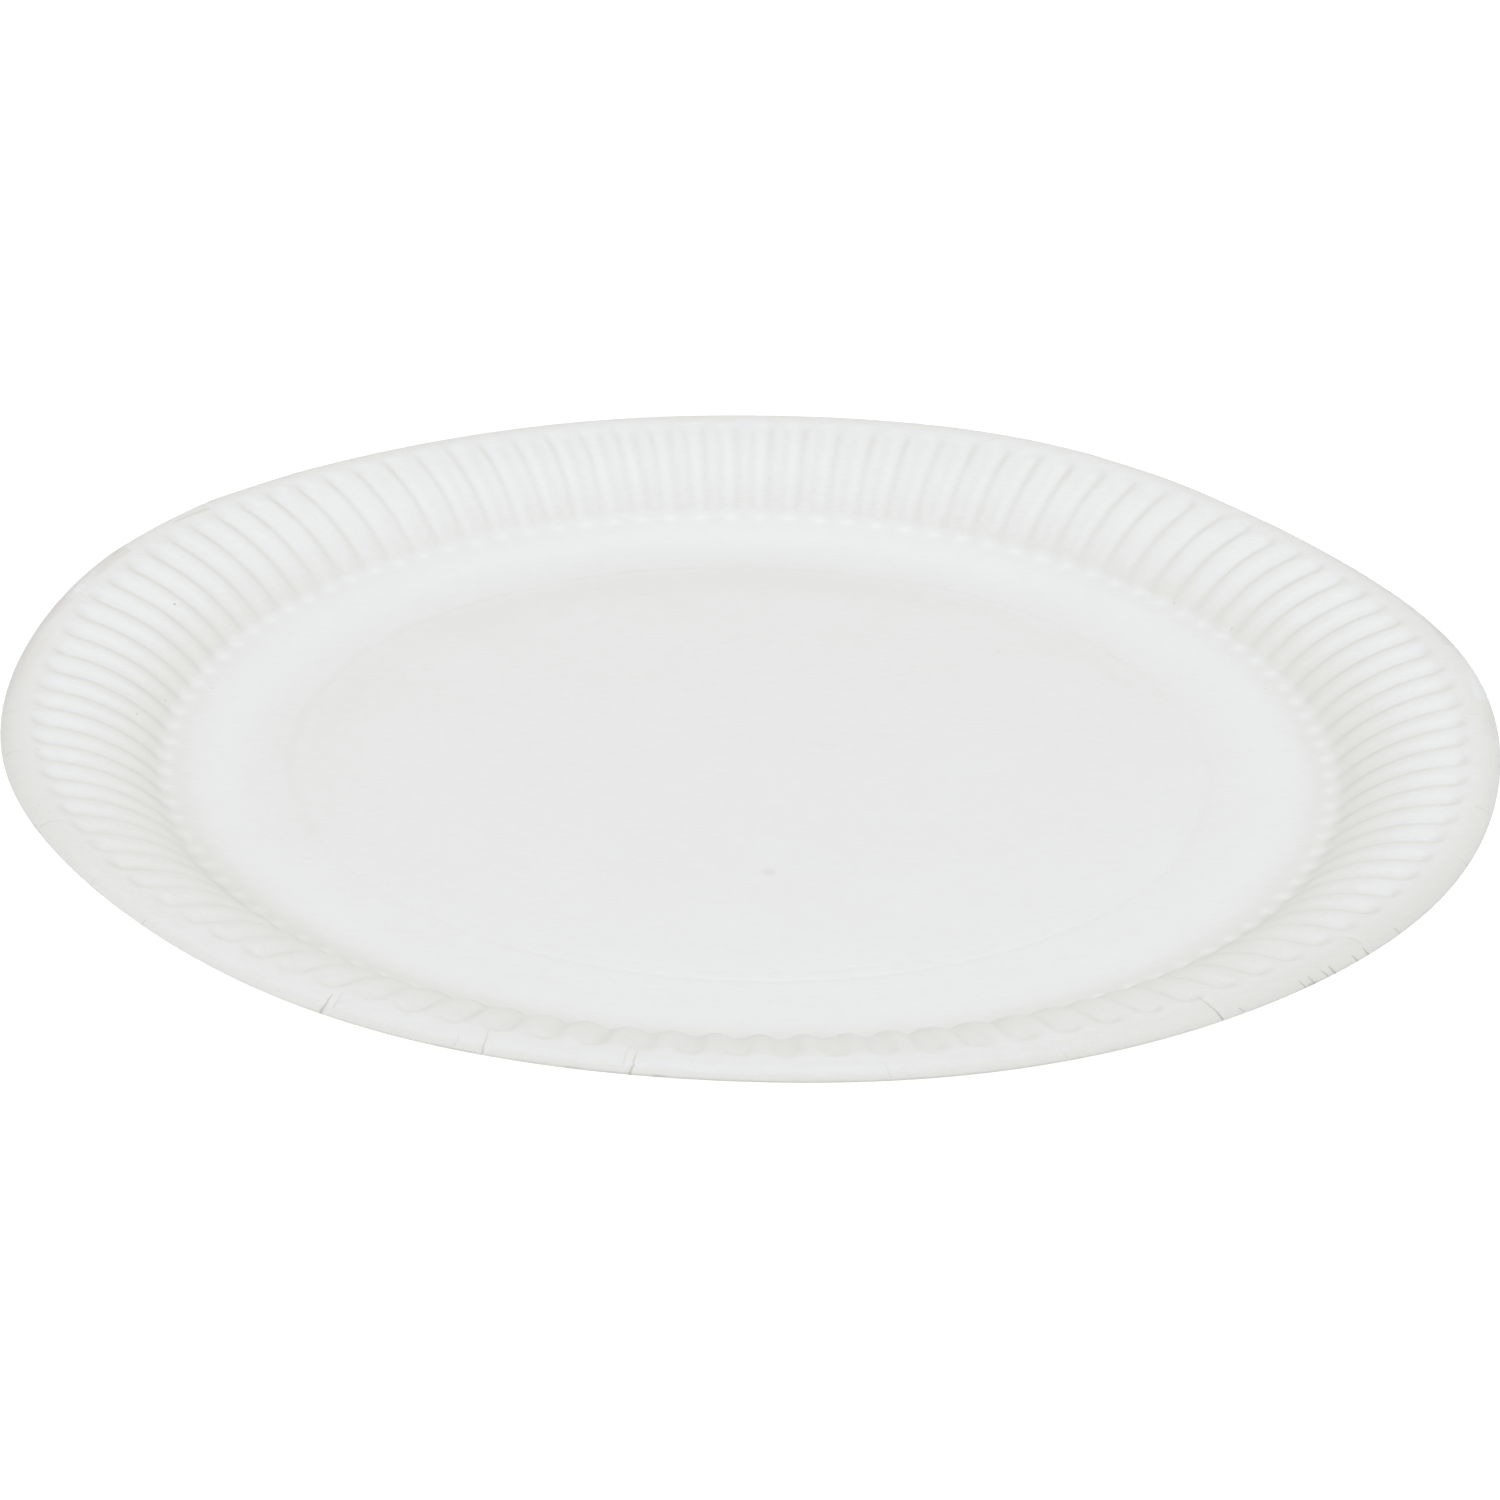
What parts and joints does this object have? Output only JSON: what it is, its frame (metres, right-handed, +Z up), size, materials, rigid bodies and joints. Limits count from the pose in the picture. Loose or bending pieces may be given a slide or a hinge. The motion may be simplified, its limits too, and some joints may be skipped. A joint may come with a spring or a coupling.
{
  "type": "paper plate",
  "caption": "Round shallow pressed paper plate with a flat floor, a wall of fine radial flutes and a plain turned-down rim.",
  "frame": {"origin": "middle of the floor's underside, on the surface that the plate stands on", "axes": "+Z up along the plate's axis, out of the dish"},
  "size_m": [0.228, 0.228, 0.0134],
  "materials": {
    "board": "uncoated white board, matt with a faint sheen"
  },
  "bodies": {
    "root": {"plate": "board"}
  },
  "joints": []
}
